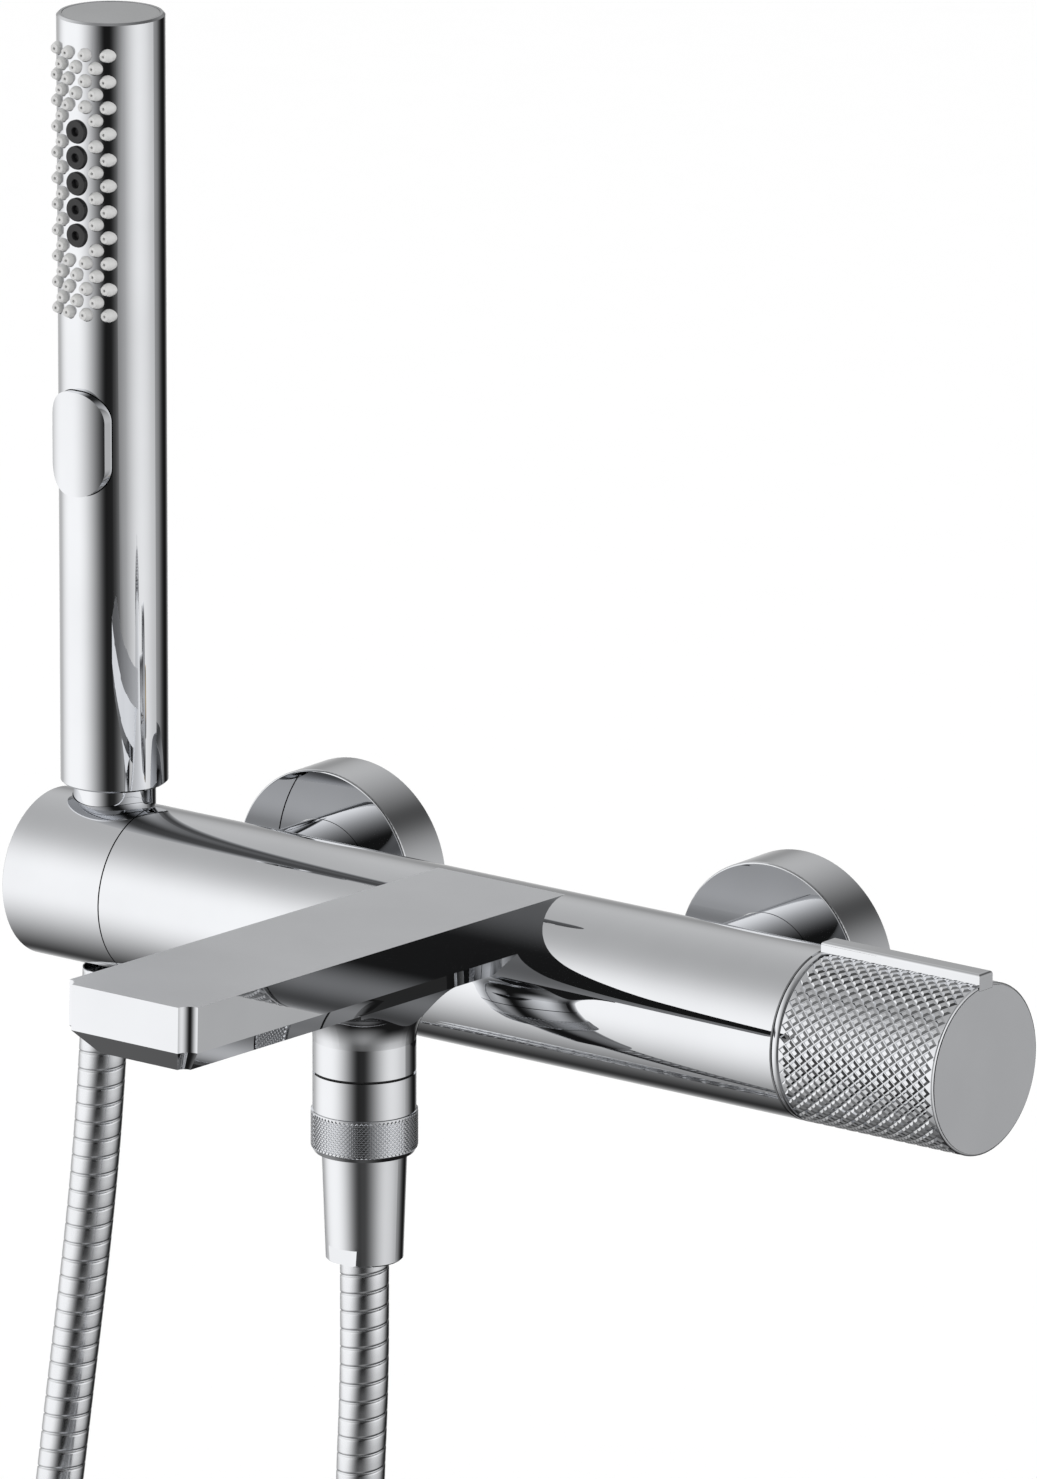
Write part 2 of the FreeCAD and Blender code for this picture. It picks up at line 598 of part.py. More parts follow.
def hand_shower():
    shell = lathe("shower_shell", [
        ("9", "shower_low"), ("shower_radius - 0.5", "shower_low"), ("shower_radius", "shower_low + 0.5"),
        ("shower_radius", "shower_top - 0.6"), ("shower_radius - 0.6", "shower_top"),
        ("shower_bore", "shower_top"), ("shower_bore", "shower_low + 0.9"),
        ("9", "shower_low + 0.9")], SHOWER_AXIS)
    window = pill("button_window", "0.2", "5", "20")
    spray_holes = pegs("spray_hole", "1.9", "1.9", "3", 5, nozzle_places())
    jet_holes = pegs("jet_hole", "3.25", "3.25", "3", 5, JET_PLACES)
    keep("shower_tube", cut("shower_tube", shell, window, *spray_holes, *jet_holes))
    keep("shower_cap", tube("shower_cap", "shower_bore - 0.1", "0", "shower_top - 1.6", "shower_top - 0.1",
                            SHOWER_AXIS))
    mat = tube("mat_ring", "13", "11.6", "nozzle_centre - 42", "nozzle_centre + 42", SHOWER_AXIS)
    front = box("mat_front", ("40", "20", "120"),
                ("shower_x - 20", "-shower_depth - 24", "nozzle_centre - 60"))
    behind = cylinder("mat_front_face", "13.05", "120", ("shower_x", "-shower_depth", "nozzle_centre - 60"))
    for name, material in (("spray", pegs("spray_peg", "1.85", "1.2", "nozzle_reach", 5, nozzle_places())),
                           ("jet", pegs("jet_peg", "3.2", "2.9", "0.8", 5, JET_PLACES))):
        keep(f"{name}_nozzles", group(f"{name}_nozzles", *[cut(f"{name}_nozzle_{n}", peg, behind)
                                                           for n, peg in enumerate(material)]))
    keep("nozzle_mat", common("nozzle_mat", mat, front))
    keep("water_tube", tube("water_tube", "8", "6.6", "150.2", "238", SHOWER_AXIS))
    block = lathe("valve_block_blank", [
        ("5", "98"), ("12.9", "98"), ("12.9", "150"), ("5", "150")], SHOWER_AXIS)
    pocket = pill("button_pocket", "0.5", "6", "20")
    bore = cylinder("spool_bore", "4 + running_gap", "16", behind_button("8"), "y")
    keep("valve_block", cut("valve_block", block, pocket, bore))
    keep("supply_tube", tube("supply_tube", "8", "6.6", "42.2", "97.8", SHOWER_AXIS))
    keep("shower_base", lathe("shower_base", [
        ("5", "17"), ("8.8", "17"), ("8.8", "29.7"), ("13.1", "29.7"), ("13.1", "42"),
        ("5", "42")], SHOWER_AXIS))
    keep("handset_hose_nut", lathe("handset_hose_nut", [
        ("6.9", "-8"), ("9", "-8"), ("hose_nut_radius", "17"), ("hose_nut_radius", "28.4"), ("8.9", "28.4"),
        ("8.9", "15"), ("6.9", "13")], SHOWER_AXIS))
    keep("handset_hose_washer", tube("handset_hose_washer", "8.7", "5", "15.2", "16.9", SHOWER_AXIS))
    keep("hose_tail", tube("hose_tail", "hose_radius", "4.5", "-22", "14.5", SHOWER_AXIS))


def shower_button():
    """The push button on the hand shower, its spool and its return spring."""
    rounded = common("button_blank", pill("button_bar", "0", "9", "20"),
                     cylinder("button_front", "button_radius", "60", ("shower_x", "-shower_depth", "93")))
    seat = cylinder("spring_seat", "6.2", "3", behind_button("12"), "y")
    keep("push_button", cut("push_button", rounded, seat))
    keep("button_spool", cylinder("button_spool", "4", "12", behind_button("11.9"), "y"))
    pitch, length, radius = 1.7, 5.0, 5.1
    helix = Part.makeHelix(pitch, length, radius)
    along = V(0, 1, pitch / (2 * math.pi * radius))
    ring = Part.Wire([Part.Circle(V(radius, 0, 0), along, 0.35).toShape()])
    spring = doc.addObject("Part::Feature", "button_spring")
    spring.Shape = Part.Wire(helix).makePipeShell([ring], True, True)
    turn = FreeCAD.Rotation(X_AXIS, 90)
    spring.Placement = FreeCAD.Placement(V(*[value(c) for c in behind_button("6.5")]), turn)
    keep("button_spring", spring)


# ---------------------------------------------------------------- diverter and hose outlet

def diverter():
    """Collar and knurled ring that turn on the outlet nipple to send water to the hose."""
    keep("collar_seal", tube("collar_seal", "13", "8", "collar_top + 0.05", "boss_low - 0.02",
                             OUTLET_AXIS[:2]))
    keep("outlet_nipple", lathe("outlet_nipple", [
        ("4.6", "-48"), ("9.8", "-48"), ("9.8", "-37"), ("6.4", "-37"), ("6.4", "8"),
        ("4.6", "8")], OUTLET_AXIS))
    keep("diverter_collar", tube("diverter_collar", "boss_radius", "9.9", "ring_top + 0.02", "collar_top",
                                 OUTLET_AXIS[:2]))
    keep("diverter_ring", lathe("diverter_ring", [
        ("9.9", "ring_low"), ("ring_radius - 0.85", "ring_low"), ("ring_radius", "ring_low + 1.15"),
        ("ring_radius", "ring_top - 0.45"), ("ring_radius - 0.4", "ring_top"),
        ("9.9", "ring_top")], OUTLET_AXIS))
    keep("diverter_spool", tube("diverter_spool", "9.8", "6.4 + running_gap", "-34.5", "-17",
                                OUTLET_AXIS[:2]))
    cone = lathe("outlet_cone", [
        ("6.6", "cone_low"), ("cone_low_radius - 0.4", "cone_low"), ("cone_low_radius", "cone_low + 0.4"),
        ("cone_top_radius", "ring_low - 0.3"), ("9.9", "ring_low - 0.3"), ("9.9", "-50"), ("6.6", "-51.5")],
        OUTLET_AXIS)
    flats = []
    for name, offset in (("front", "-9.3 - 6"), ("back", "9.3")):
        flats.append(box(f"wrench_flat_{name}", ("30", "6", "4.6"),
                         ("spout_x - 15", f"outlet_y + {offset}", "cone_low - 0.1")))
    keep("outlet_hose_nut", cut("outlet_hose_nut", cone, *flats))
    keep("outlet_hose_washer", tube("outlet_hose_washer", "9.6", "4.6", "-49.9", "-48.1", OUTLET_AXIS[:2]))


# ---------------------------------------------------------------- hose

OUTLET_LEG = [V(15.5, -112.6, -55), V(15.4, -112.5, -96), V(12.2, -111.2, -140), V(10.4, -107.6, -184),
              V(10.0, -103.2, -238)]
HANDSET_LEG = [V(-121.1, -52.1, -24.9), V(-122.4, -52.3, -53), V(-126.2, -53, -95), V(-132, -55.4, -146),
               V(-134.4, -61, -192), V(-131.4, -68.8, -238)]


def rounded_route(points):
    """Straight runs joined by tangent arcs, each as large as its two runs allow."""
    edges, radii, here = [], [], points[0]
    for before, corner, after in zip(points, points[1:], points[2:]):
        back, ahead = (before - corner), (after - corner)
        turn = math.pi - back.getAngle(ahead)
        trim = 0.45 * min(back.Length, ahead.Length)
        radii.append(trim / math.tan(turn / 2))
        start = corner + back.normalize() * trim
        stop = corner + ahead.normalize() * trim
        middle = (start + stop) * 0.5
        towards = (corner - middle).normalize()
        sagitta = radii[-1] * (1 - math.cos(turn / 2))
        edges.append(Part.LineSegment(here, start).toShape())
        edges.append(Part.Arc(start, middle + towards * sagitta, stop).toShape())
        here = stop
    edges.append(Part.LineSegment(here, points[-1]).toShape())
    return Part.Wire(edges), radii


def hose_leg(name, points):
    wire, radii = rounded_route(points)
    ring = Part.Wire([Part.Circle(points[0], points[1] - points[0], value("hose_radius")).toShape()])
    leg = doc.addObject("Part::Feature", name)
    leg.Shape = wire.makePipeShell([ring], True, True)
    ideal = math.pi * value("hose_radius") ** 2 * wire.Length
    print(f"{name}: length {wire.Length:.1f}, smallest radius {min(radii):.0f}, "
          f"volume over section times length {leg.Shape.Volume / ideal:.4f}")
    return keep(name, leg)


def hose():
    hose_leg("hose_outlet_leg", OUTLET_LEG)
    hose_leg("hose_handset_leg", HANDSET_LEG)
    corner = "2"
    inner, outer = "coil_turn_radius - hose_radius", "coil_turn_radius + hose_radius"
    keep("hose_coil", lathe("hose_coil", [
        (inner, f"{corner} - coil_half_width"), (f"{inner} + {corner}", "-coil_half_width"),
        (f"{outer} - {corner}", "-coil_half_width"), (outer, f"{corner} - coil_half_width"),
        (outer, f"coil_half_width - {corner}"), (f"{outer} - {corner}", "coil_half_width"),
        (f"{inner} + {corner}", "coil_half_width"), (inner, f"coil_half_width - {corner}")],
        ("coil_x", "coil_y", "coil_z"), "y"))
    bottom = "coil_z - coil_turn_radius"
    band = box("tie_band", ("9", "2 * coil_half_width + 3", "2 * hose_radius + 3"),
               ("coil_x - 4.5", "coil_y - coil_half_width - 1.5", f"{bottom} - hose_radius - 1.5"))
    space = box("tie_space", ("11", "2 * coil_half_width + 0.4", "2 * hose_radius + 0.8"),
                ("coil_x - 5.5", "coil_y - coil_half_width - 0.2", f"{bottom} - hose_radius - 0.2"))
    keep("hose_tie", cut("hose_tie", band, space))


# ---------------------------------------------------------------- build, check and write

def check_document():
    doc.recompute()
    faults = [o.Label for o in doc.Objects if {"Invalid", "Error"} & set(o.State)]
    for name, obj in nodes.items():
        if obj.Shape.isNull() or not obj.Shape.isValid() or not obj.Shape.Solids:
            faults.append(name)
    if faults:
        raise RuntimeError(f"these features or shapes failed: {sorted(set(faults))}")


body_casting()
aerator()
wall_connection("left", "-1")
wall_connection("right", "1")
cartridge()
knob()
holder()
hand_shower()
shower_button()
diverter()
hose()
check_document()

os.makedirs("parts", exist_ok=True)
for node_name, node_object in nodes.items():
    node_object.Shape.exportStep(os.path.join("parts", node_name + ".step"))
print(len(nodes), "nodes written")
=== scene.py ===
import bisect
import json
import math

import bpy
from mathutils import Matrix, Vector


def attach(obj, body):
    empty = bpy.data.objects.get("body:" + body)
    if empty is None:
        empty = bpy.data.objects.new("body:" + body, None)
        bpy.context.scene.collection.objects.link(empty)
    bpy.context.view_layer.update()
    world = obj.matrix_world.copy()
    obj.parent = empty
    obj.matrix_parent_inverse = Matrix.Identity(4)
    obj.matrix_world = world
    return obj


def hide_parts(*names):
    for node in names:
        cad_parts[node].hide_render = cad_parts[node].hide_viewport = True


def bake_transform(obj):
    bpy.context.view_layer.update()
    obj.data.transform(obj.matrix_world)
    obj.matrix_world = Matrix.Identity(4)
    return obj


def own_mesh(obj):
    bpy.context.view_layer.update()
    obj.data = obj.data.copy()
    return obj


# Looks of a wall mounted bath and shower mixer. Metres, +Z up, wall at y = 0, the object towards -Y.

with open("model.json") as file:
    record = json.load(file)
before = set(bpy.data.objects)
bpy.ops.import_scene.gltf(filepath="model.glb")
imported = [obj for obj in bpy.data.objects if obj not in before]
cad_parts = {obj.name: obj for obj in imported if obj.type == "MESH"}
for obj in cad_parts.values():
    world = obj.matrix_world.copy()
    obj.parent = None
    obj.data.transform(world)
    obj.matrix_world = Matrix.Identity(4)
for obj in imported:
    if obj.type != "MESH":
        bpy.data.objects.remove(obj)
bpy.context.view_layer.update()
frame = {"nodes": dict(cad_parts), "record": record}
NODES = frame["nodes"]
MM = 0.001

AXIS_Y = -54.5 * MM
SPOUT_X = 15.5 * MM
SPOUT_HALF = 21.3 * MM
OUTLET_Y = -112.6 * MM
SHOWER_X = -120.0 * MM
SHOWER_Y = -49.6 * MM


# ---------------------------------------------------------------- materials

def surface(name, color, roughness, metallic=0.0, spread=0.03, grain=900.0, bump=0.02, wear=0.06):
    """A procedural finish: fine grain in the roughness, faint bumps and slightly worn, darker patches."""
    material = bpy.data.materials.new(name)
    material.use_nodes = True
    tree = material.node_tree
    shader = tree.nodes["Principled BSDF"]
    shader.inputs["Metallic"].default_value = metallic
    place = tree.nodes.new("ShaderNodeTexCoord")

    def noise(scale, detail):
        node = tree.nodes.new("ShaderNodeTexNoise")
        node.inputs["Scale"].default_value = scale
        node.inputs["Detail"].default_value = detail
        tree.links.new(place.outputs["Object"], node.inputs["Vector"])
        return node.outputs["Fac"]

    def span(source, low, high):
        node = tree.nodes.new("ShaderNodeMapRange")
        node.inputs["From Min"].default_value = 0.3
        node.inputs["From Max"].default_value = 0.7
        node.inputs["To Min"].default_value = low
        node.inputs["To Max"].default_value = high
        tree.links.new(source, node.inputs["Value"])
        return node.outputs["Result"]

    patches = noise(28.0, 4.0)
    fine = noise(grain, 3.0)
    mix = tree.nodes.new("ShaderNodeMix")
    mix.data_type = "RGBA"
    mix.inputs["A"].default_value = (*color, 1.0)
    mix.inputs["B"].default_value = (*[c * (1.0 - wear) for c in color], 1.0)
    tree.links.new(span(patches, 0.0, 1.0), mix.inputs["Factor"])
    tree.links.new(mix.outputs["Result"], shader.inputs["Base Color"])
    both = tree.nodes.new("ShaderNodeMath")
    both.operation = "ADD"
    tree.links.new(span(patches, roughness - spread / 2, roughness + spread / 2), both.inputs[0])
    tree.links.new(span(fine, 0.0, spread / 2), both.inputs[1])
    tree.links.new(both.outputs["Value"], shader.inputs["Roughness"])
    relief = tree.nodes.new("ShaderNodeBump")
    relief.inputs["Strength"].default_value = bump
    relief.inputs["Distance"].default_value = 0.0001
    tree.links.new(fine, relief.inputs["Height"])
    tree.links.new(relief.outputs["Normal"], shader.inputs["Normal"])
    return material


def lap(material, letter, satin, middle=None, half_width=None):
    """Faces that look along +X or +Z are lapped to satin, only near middle along X if it is given."""
    tree = material.node_tree
    shader = tree.nodes["Principled BSDF"]
    polished = shader.inputs["Roughness"].links[0].from_socket
    facing = tree.nodes.new("ShaderNodeNewGeometry")

    def part_of(output, axis):
        split = tree.nodes.new("ShaderNodeSeparateXYZ")
        tree.links.new(facing.outputs[output], split.inputs["Vector"])
        return split.outputs[axis]

    flat = tree.nodes.new("ShaderNodeMapRange")
    flat.inputs["From Min"].default_value = 0.9985
    flat.inputs["From Max"].default_value = 0.9993
    tree.links.new(part_of("Normal", letter), flat.inputs["Value"])
    share = flat.outputs["Result"]
    if middle is not None:
        near = tree.nodes.new("ShaderNodeMath")
        near.operation = "COMPARE"
        near.inputs[1].default_value = middle
        near.inputs[2].default_value = half_width
        tree.links.new(part_of("Position", "X"), near.inputs[0])
        both = tree.nodes.new("ShaderNodeMath")
        both.operation = "MULTIPLY"
        tree.links.new(near.outputs["Value"], both.inputs[0])
        tree.links.new(share, both.inputs[1])
        share = both.outputs["Value"]
    blend = tree.nodes.new("ShaderNodeMix")
    blend.inputs["B"].default_value = satin
    tree.links.new(share, blend.inputs["Factor"])
    tree.links.new(polished, blend.inputs["A"])
    tree.links.new(blend.outputs["Result"], shader.inputs["Roughness"])
    return material


def chrome(name):
    return surface(name, (0.74, 0.75, 0.77), 0.012, 1.0, 0.012, bump=0.004)


MATERIALS = {
    "chrome": chrome("chrome"),
    "spout_chrome": lap(chrome("spout_chrome"), "Z", 0.42, SPOUT_X, SPOUT_HALF),
    "end_chrome": lap(chrome("end_chrome"), "X", 0.42),
    "brass": surface("brass", (0.72, 0.52, 0.24), 0.28, 1.0, 0.1, bump=0.1),
    "steel": surface("steel", (0.60, 0.60, 0.61), 0.25, 1.0, 0.1, bump=0.1),
    "stainless_hose": surface("stainless_hose", (0.74, 0.75, 0.77), 0.15, 1.0, 0.05, bump=0.01),
    "black_plastic": surface("black_plastic", (0.02, 0.02, 0.022), 0.5, 0.0, 0.1, bump=0.15),
    "white_plastic": surface("white_plastic", (0.80, 0.80, 0.79), 0.45, 0.0, 0.1, bump=0.1),
    "grey_plastic": surface("grey_plastic", (0.30, 0.305, 0.31), 0.4, 0.0, 0.1, bump=0.1),
    "nozzle_rubber": surface("nozzle_rubber", (0.60, 0.60, 0.595), 0.36, 0.0, 0.1, bump=0.1),
    "jet_rubber": surface("jet_rubber", (0.012, 0.012, 0.013), 0.4, 0.0, 0.1, bump=0.1),
    "seal_rubber": surface("seal_rubber", (0.015, 0.015, 0.016), 0.55, 0.0, 0.1, bump=0.15),
    "ceramic": surface("ceramic", (0.78, 0.75, 0.68), 0.2, 0.0, 0.06, bump=0.03),
}


def finish(obj, slot):
    obj.data.materials.clear()
    obj.data.materials.append(MATERIALS[slot])
    return obj


for entry in frame["record"]["subparts"]:
    finish(NODES[entry["node"]], entry["material_slot"])
finish(NODES["body_casting"], "spout_chrome")
for node in ("knob_end_plate", "knob_fin"):
    finish(NODES[node], "end_chrome")


# ---------------------------------------------------------------- mesh helpers

def mesh_object(name, verts, faces, sharp=35.0):
    mesh = bpy.data.meshes.new(name)
    mesh.from_pydata([tuple(v) for v in verts], [], faces)
    mesh.validate()
    mesh.update()
    mesh.shade_smooth()
    mesh.set_sharp_from_angle(angle=math.radians(sharp))
    obj = bpy.data.objects.new(name, mesh)
    bpy.context.scene.collection.objects.link(obj)
    return obj


def turned(name, profile, origin, axis, segments=192, closed=True, sharp=35.0):
    """Turns a profile of (radius, distance along the axis) points round an axis through origin."""
    origin, axis = Vector(origin), Vector(axis).normalized()
    side = axis.orthogonal().normalized()
    other = axis.cross(side)
    verts, faces = [], []
    for radius, along in profile:
        for step in range(segments):
            angle = 2 * math.pi * step / segments
            outward = side * math.cos(angle) + other * math.sin(angle)
            verts.append(origin + axis * along + outward * radius)
    rings = len(profile)
    for ring in range(rings if closed else rings - 1):
        following = (ring + 1) % rings
        for step in range(segments):
            after = (step + 1) % segments
            faces.append((ring * segments + step, following * segments + step,
                          following * segments + after, ring * segments + after))
    return mesh_object(name, verts, faces, sharp)


def knurl(name, origin, axis, start, stop, count, pitch, low, high, top, foot):
    """Staggered rhombic pads on a cylinder, count of them round it. They rise from radius low to high,
    and top and foot are their width there as a share of the pitch."""
    origin, axis = Vector(origin), Vector(axis).normalized()
    side = axis.orthogonal().normalized()
    other = axis.cross(side)
    half_turn = math.pi / count
    rows = int(round(2 * (stop - start) / pitch)) - 1
    verts, faces = [], []

    def spot(turn, along, radius):
        return origin + axis * along + (side * math.cos(turn) + other * math.sin(turn)) * radius

    for row in range(rows):
        middle = start + (row + 1) * pitch / 2
        for step in range(count):
            turn = 2 * math.pi * step / count + (half_turn if row % 2 else 0.0)
            base = len(verts)
            for radius, scale in ((low, foot), (high, top)):
                for across, along in ((1, 0), (0, 1), (-1, 0), (0, -1)):
                    corner_turn = turn + across * scale * half_turn
                    verts.append(spot(corner_turn, middle + along * scale * pitch / 2, radius))
            faces.append((base + 4, base + 5, base + 6, base + 7))
            for edge in range(4):
                after = (edge + 1) % 4
                faces.append((base + edge, base + after, base + 4 + after, base + 4 + edge))
    return mesh_object(name, verts, faces, 20.0)


# ---------------------------------------------------------------- knob and diverter knurls

body_line = (0.0, AXIS_Y, 0.0)
SLEEVE = [
    (20.4, 122.6), (22.75, 122.6), (22.93, 122.68), (23.0, 122.9), (23.0, 124.1), (22.9, 124.25),
    (22.55, 124.3), (22.55, 173.6), (22.9, 173.75), (23.0, 173.95), (22.9, 174.25), (22.6, 174.4),
    (22.35, 174.4), (22.35, 172.6), (20.4, 172.6)]
sleeve = turned("knob_sleeve_look", [(r * MM, x * MM) for r, x in SLEEVE], body_line, (1, 0, 0), 256)
pads = knurl("knob_knurl", body_line, (1, 0, 0), start=124.3 * MM, stop=173.6 * MM, count=44, pitch=3.79 * MM,
             low=22.5 * MM, high=23.0 * MM, top=0.45, foot=0.99)
for piece in (sleeve, pads):
    finish(piece, "chrome")
    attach(piece, "knob")
    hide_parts("knob_sleeve")

outlet_line = (SPOUT_X, OUTLET_Y, 0.0)
RING = [
    (9.9, -37.1), (13.3, -37.1), (14.0, -35.95), (13.8, -35.85), (13.8, -26.25), (14.08, -26.1),
    (14.08, -25.85), (13.85, -25.7), (9.9, -25.7)]
ring = turned("diverter_ring_look", [(r * MM, z * MM) for r, z in RING], outlet_line, (0, 0, 1), 192)
ring_pads = knurl("diverter_knurl", outlet_line, (0, 0, 1), start=-35.95 * MM, stop=-26.15 * MM, count=72,
                  pitch=1.225 * MM, low=13.75 * MM, high=14.15 * MM, top=0.42, foot=0.98)
for piece in (ring, ring_pads):
    finish(piece, "chrome")
    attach(piece, "diverter")
    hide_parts("diverter_ring")


# ---------------------------------------------------------------- spray nozzles

NOZZLE_CENTRE = 194.8 * MM
NOZZLE_PITCH = 7.1 * MM
NOZZLE_COLUMN = 2.8 * MM
SHOWER_RADIUS = 14.6 * MM


def nozzle_places():
    """(column, row) of each white nozzle, as in the part."""
    places = [(0, row) for row in (-4.5, -3.5, 3.5, 4.5)]
    for side in (-1, 1):
        places += [(side, row) for row in (-5, -4, -3, 3, 4, 5)]
        places += [(2 * side, row - 4.5) for row in range(10)]
        places += [(3 * side, row - 5) for row in range(11)]
    return places


def nozzle(name, column, row, profile):
    """One nozzle that faces -Y, turned from (radius, distance in front of the tube) points."""
    across = NOZZLE_COLUMN * column
    front = math.sqrt(SHOWER_RADIUS ** 2 - across ** 2)
    origin = (SHOWER_X + across, SHOWER_Y - front, NOZZLE_CENTRE + row * NOZZLE_PITCH)
    return turned(name, [(r * MM, y * MM) for r, y in profile], origin, (0, -1, 0), 28, False, 40.0)


def joined(name, pieces):
    """Several meshes as one piece."""
    verts, faces = [], []
    for piece in pieces:
        base = len(verts)
        verts += [piece.matrix_world @ v.co for v in piece.data.vertices]
        faces += [tuple(base + i for i in face.vertices) for face in piece.data.polygons]
        bpy.data.objects.remove(piece)
    return mesh_object(name, verts, faces, 40.0)


SPRAY = [
    (1.85, -4.5), (1.85, -0.1), (1.7, 0.5), (1.35, 1.4), (1.2, 1.72), (0.95, 1.8), (0.42, 1.8),
    (0.38, 1.7), (0.36, 0.6), (0.0, 0.6)]
JET = [
    (3.2, -2.5), (3.2, 0.5), (3.05, 0.78), (2.2, 0.8), (1.9, 0.8), (1.3, 0.75), (1.15, 0.5),
    (1.1, -0.5), (0.0, -0.5)]
for name, profile, places, slot in (
        ("spray_nozzles", SPRAY, nozzle_places(), "nozzle_rubber"),
        ("jet_nozzles", JET, [(0, row) for row in (-2, -1, 0, 1, 2)], "jet_rubber")):
    row = [nozzle(f"{name}_{n}", *place, profile) for n, place in enumerate(places)]
    look = joined(name + "_look", row)
    finish(look, slot)
    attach(look, "hand_shower")
    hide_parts(name)


# ---------------------------------------------------------------- button spring

spring = bpy.data.objects.new("button_spring_look", NODES["button_spring"].data.copy())
spring.matrix_world = NODES["button_spring"].matrix_world
bpy.context.scene.collection.objects.link(spring)
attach(spring, "hand_shower")
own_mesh(spring)
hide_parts("button_spring")


# ---------------------------------------------------------------- hose

HOSE_RADIUS = 6.5
COIL = (-60.7, -238.0)
COIL_RADIUS = 70.7
COIL_FRONT = -103.2
COIL_DEPTH = 34.4
TURNS = 2.5
OUTLET_LEG = [(15.5, -112.6, -56), (15.5, -112.6, -76), (15.4, -112.5, -100), (12.4, -111.3, -140),
              (10.4, -107.6, -184), (10.0, -104.2, -222)]
HANDSET_LEG = [(-132.0, -68.0, -222), (-134.4, -61.0, -192), (-132.0, -55.4, -146), (-126.2, -53.0, -95),
               (-122.4, -52.3, -53), (-121.1, -52.1, -25.2)]


def coil_points(per_turn=12):
    """Points of the tied coil, which winds towards the wall on its way to the hand shower's leg."""
    reach = COIL_RADIUS / math.cos(math.pi / per_turn)
    steps = int(TURNS * per_turn)
    found = []
    for step in range(steps):
        angle = -2 * math.pi * (step + 0.5) / per_turn
        depth = COIL_FRONT + COIL_DEPTH * (step + 0.5) / steps
        found.append((COIL[0] + reach * math.cos(angle), depth, COIL[1] + reach * math.sin(angle)))
    return found


def hose_line():
    """The hose's centre line as a smooth spline, and the points read back from it."""
    curve = bpy.data.curves.new("hose_line", "CURVE")
    curve.dimensions = "3D"
    curve.resolution_u = 16
    spline = curve.splines.new("NURBS")
    route = OUTLET_LEG + coil_points() + HANDSET_LEG
    spline.points.add(len(route) - 1)
    for point, place in zip(spline.points, route):
        point.co = (*[c * MM for c in place], 1.0)
    spline.order_u = 3
    spline.use_endpoint_u = True
    obj = bpy.data.objects.new("hose_line", curve)
    bpy.context.scene.collection.objects.link(obj)
    line = bpy.data.meshes.new_from_object(obj)
    points = [v.co.copy() for v in line.vertices]
    bpy.data.meshes.remove(line)
    bpy.data.objects.remove(obj)
    return points


class Route:
    """Places and steady sideways directions along a line of points."""

    def __init__(self, points):
        self.points = points
        self.reached = [0.0]
        for a, b in zip(points, points[1:]):
            self.reached.append(self.reached[-1] + (b - a).length)
        self.length = self.reached[-1]
        self.sides = []
        side = (points[1] - points[0]).orthogonal().normalized()
        for i in range(len(points)):
            ahead = (points[min(i + 1, len(points) - 1)] - points[max(i - 1, 0)]).normalized()
            side = (side - ahead * side.dot(ahead)).normalized()
            self.sides.append((side.copy(), ahead.cross(side)))

    def at(self, along):
        """The place at a distance along the line, with the two directions across it."""
        along = min(max(along, 0.0), self.length)
        i = min(max(bisect.bisect_right(self.reached, along) - 1, 0), len(self.points) - 2)
        share = (along - self.reached[i]) / (self.reached[i + 1] - self.reached[i])
        first, second = (a.lerp(b, share).normalized() for a, b in zip(self.sides[i], self.sides[i + 1]))
        return self.points[i].lerp(self.points[i + 1], share), first, second


def wound_hose(name, route, radius, pitch, profile, sides=32):
    """A strip wound round the route. profile gives one pitch: (share of the pitch, depth below radius)."""
    verts, faces = [], []
    turns = int(route.length / pitch) + 2
    rows = turns * len(profile)
    for row in range(rows):
        share, depth = profile[row % len(profile)]
        for side in range(sides):
            angle = 2 * math.pi * side / sides
            along = (row // len(profile) - 1 + share + side / sides) * pitch
            centre, first, second = route.at(along)
            verts.append(centre + (first * math.cos(angle) + second * math.sin(angle)) * (radius - depth))
    for row in range(rows - 1):
        for side in range(sides):
            after = side + 1
            here, above = row * sides, (row + 1) * sides
            if after < sides:
                faces.append((here + side, here + after, above + after, above + side))
            elif row + len(profile) + 1 < rows:
                ahead = row + len(profile)
                faces.append((here + side, ahead * sides, (ahead + 1) * sides, above + side))
    return mesh_object(name, verts, faces, 180.0)


hose_route = Route(hose_line())
HOSE_PITCH = 5.0
STRIP = [
    (0.0, 0.02), (0.03, 0.26), (0.07, 0.32), (0.11, 0.24), (0.14, 0.04), (0.22, 0.0), (0.6, 0.0), (0.9, 0.01)]
hose = wound_hose("hose", hose_route, HOSE_RADIUS * MM, HOSE_PITCH * MM,
                  [(share, depth * MM) for share, depth in STRIP])
finish(hose, "stainless_hose")
for node in ("hose_outlet_leg", "hose_handset_leg", "hose_coil"):
    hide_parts(node)
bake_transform(hose)
[tuple(hose_route.at(hose_route.length * i / 400)[0]) for i in range(401)]


# ---------------------------------------------------------------- studio

FLOOR_Z = -0.345
FLOOR_HALF = 6
floor_mesh = bpy.data.meshes.new("floor")
floor_corners = [(x * FLOOR_HALF, y * FLOOR_HALF, FLOOR_Z) for x, y in ((-1, -1), (1, -1), (1, 1), (-1, 1))]
floor_mesh.from_pydata(floor_corners, [], [(0, 1, 2, 3)])
floor = bpy.data.objects.new("floor", floor_mesh)
bpy.context.scene.collection.objects.link(floor)
floor_mesh.materials.append(surface("floor", (0.92, 0.92, 0.92), 0.6, 0.0, 0.05, 60.0, 0.01, 0.01))
floor.visible_glossy = False


BACKDROP = 1.15


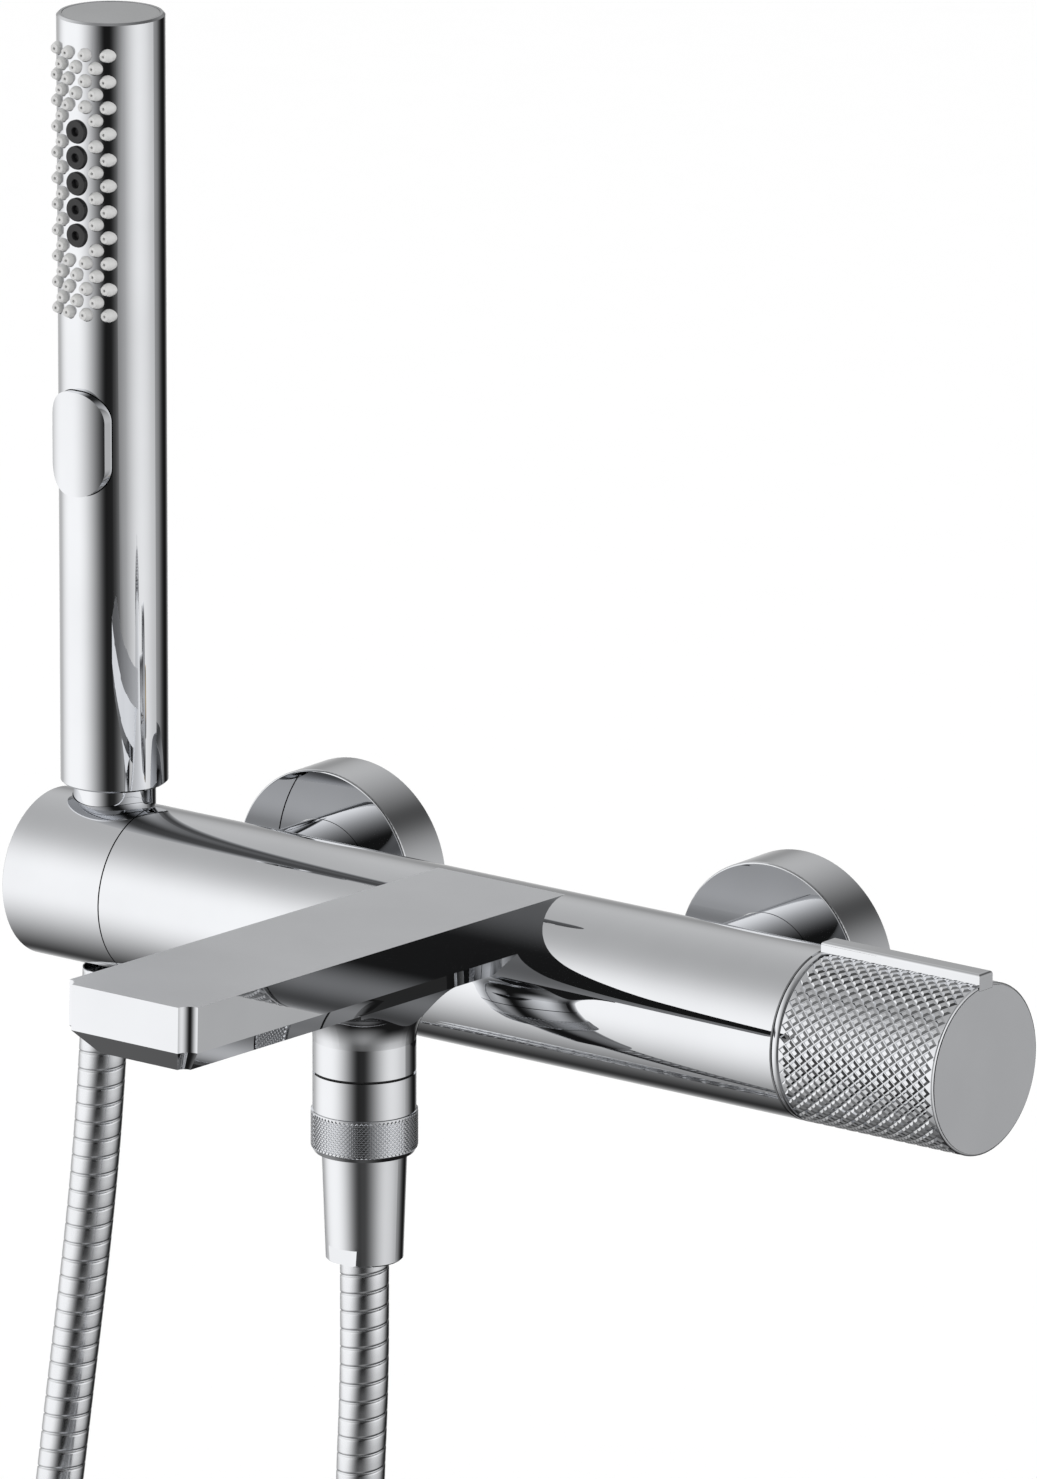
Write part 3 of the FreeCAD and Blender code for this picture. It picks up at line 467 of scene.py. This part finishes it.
def studio_world(lights, base):
    """A white backdrop. Polished metal sees dark surroundings with large soft lights in them instead.
    Each light is (azimuth, elevation, full width, whole width, strength). Azimuth 0 is the front and 90
    is the knob's side."""
    world = bpy.data.worlds.new("studio")
    world.use_nodes = True
    tree = world.node_tree
    flatten = 1.25

    def math_node(operation, *values):
        node = tree.nodes.new("ShaderNodeMath")
        node.operation = operation
        for socket, amount in zip(node.inputs, values):
            if isinstance(amount, (int, float)):
                socket.default_value = amount
            else:
                tree.links.new(amount, socket)
        return node.outputs["Value"]

    def vector_node(operation, *values):
        node = tree.nodes.new("ShaderNodeVectorMath")
        node.operation = operation
        for socket, amount in zip(node.inputs, values):
            if isinstance(amount, tuple):
                socket.default_value = amount
            else:
                tree.links.new(amount, socket)
        return node

    place = tree.nodes.new("ShaderNodeTexCoord").outputs["Generated"]
    squashed = vector_node("MULTIPLY", place, (1.0, 1.0, flatten)).outputs["Vector"]
    way = vector_node("NORMALIZE", squashed).outputs["Vector"]
    total = base
    for azimuth, elevation, inner, outer, strength in lights:
        around, up = math.radians(azimuth), math.radians(elevation)
        level = math.cos(up)
        aim_at = Vector((math.sin(around) * level, -math.cos(around) * level, flatten * math.sin(up)))
        near = vector_node("DOT_PRODUCT", way, tuple(aim_at.normalized())).outputs["Value"]
        ramp = tree.nodes.new("ShaderNodeMapRange")
        ramp.interpolation_type = "SMOOTHSTEP"
        ramp.inputs["From Min"].default_value = math.radians(inner)
        ramp.inputs["From Max"].default_value = math.radians(outer)
        ramp.inputs["To Min"].default_value = strength
        ramp.inputs["To Max"].default_value = 0.0
        tree.links.new(math_node("ARCCOSINE", near), ramp.inputs["Value"])
        total = math_node("ADD", total, ramp.outputs["Result"])
    rays = tree.nodes.new("ShaderNodeLightPath")
    glossy = rays.outputs["Is Glossy Ray"]
    mixed = math_node("ADD", math_node("MULTIPLY", total, glossy),
                      math_node("MULTIPLY", math_node("SUBTRACT", 1.0, glossy), BACKDROP))
    background = tree.nodes["Background"]
    background.inputs["Color"].default_value = (1.0, 1.0, 1.0, 1.0)
    tree.links.new(mixed, background.inputs["Strength"])
    bpy.context.scene.world = world


studio_world([
    (-55, 0, 20, 82, 1.22),
    (102, 0, 0, 68, 1.22),
    (-138, -16, 0, 36, 0.66),
    (-140, 34, 0, 60, 0.62),
    (0, 90, 0, 50, 0.30),
    (38, -48, 0, 40, 0.30),
    (142, -20, 0, 34, 0.16),
], 0.012)
bpy.context.scene.view_settings.view_transform = "Standard"


# ---------------------------------------------------------------- camera

def aim(azimuth, elevation, target, distance, lens, roll):
    around, up = math.radians(azimuth), math.radians(elevation)
    away = Vector((math.sin(around) * math.cos(up), -math.cos(around) * math.cos(up), math.sin(up)))
    data = bpy.data.cameras.new("camera")
    data.sensor_fit = "VERTICAL"
    data.sensor_height = 36.0
    data.lens = lens
    data.clip_end = 50.0
    data.dof.use_dof = False
    camera = bpy.data.objects.new("camera", data)
    turn = away.to_track_quat("Z", "Y").to_matrix().to_4x4() @ Matrix.Rotation(roll, 4, "Z")
    camera.matrix_world = Matrix.Translation(Vector(target) + away * distance) @ turn
    bpy.context.scene.collection.objects.link(camera)
    bpy.context.scene.camera = camera


aim(azimuth=37.696, elevation=15.215, target=(-20.58 * MM, 0.0, 44.22 * MM), distance=4.266, lens=386.99,
    roll=math.radians(0.106))
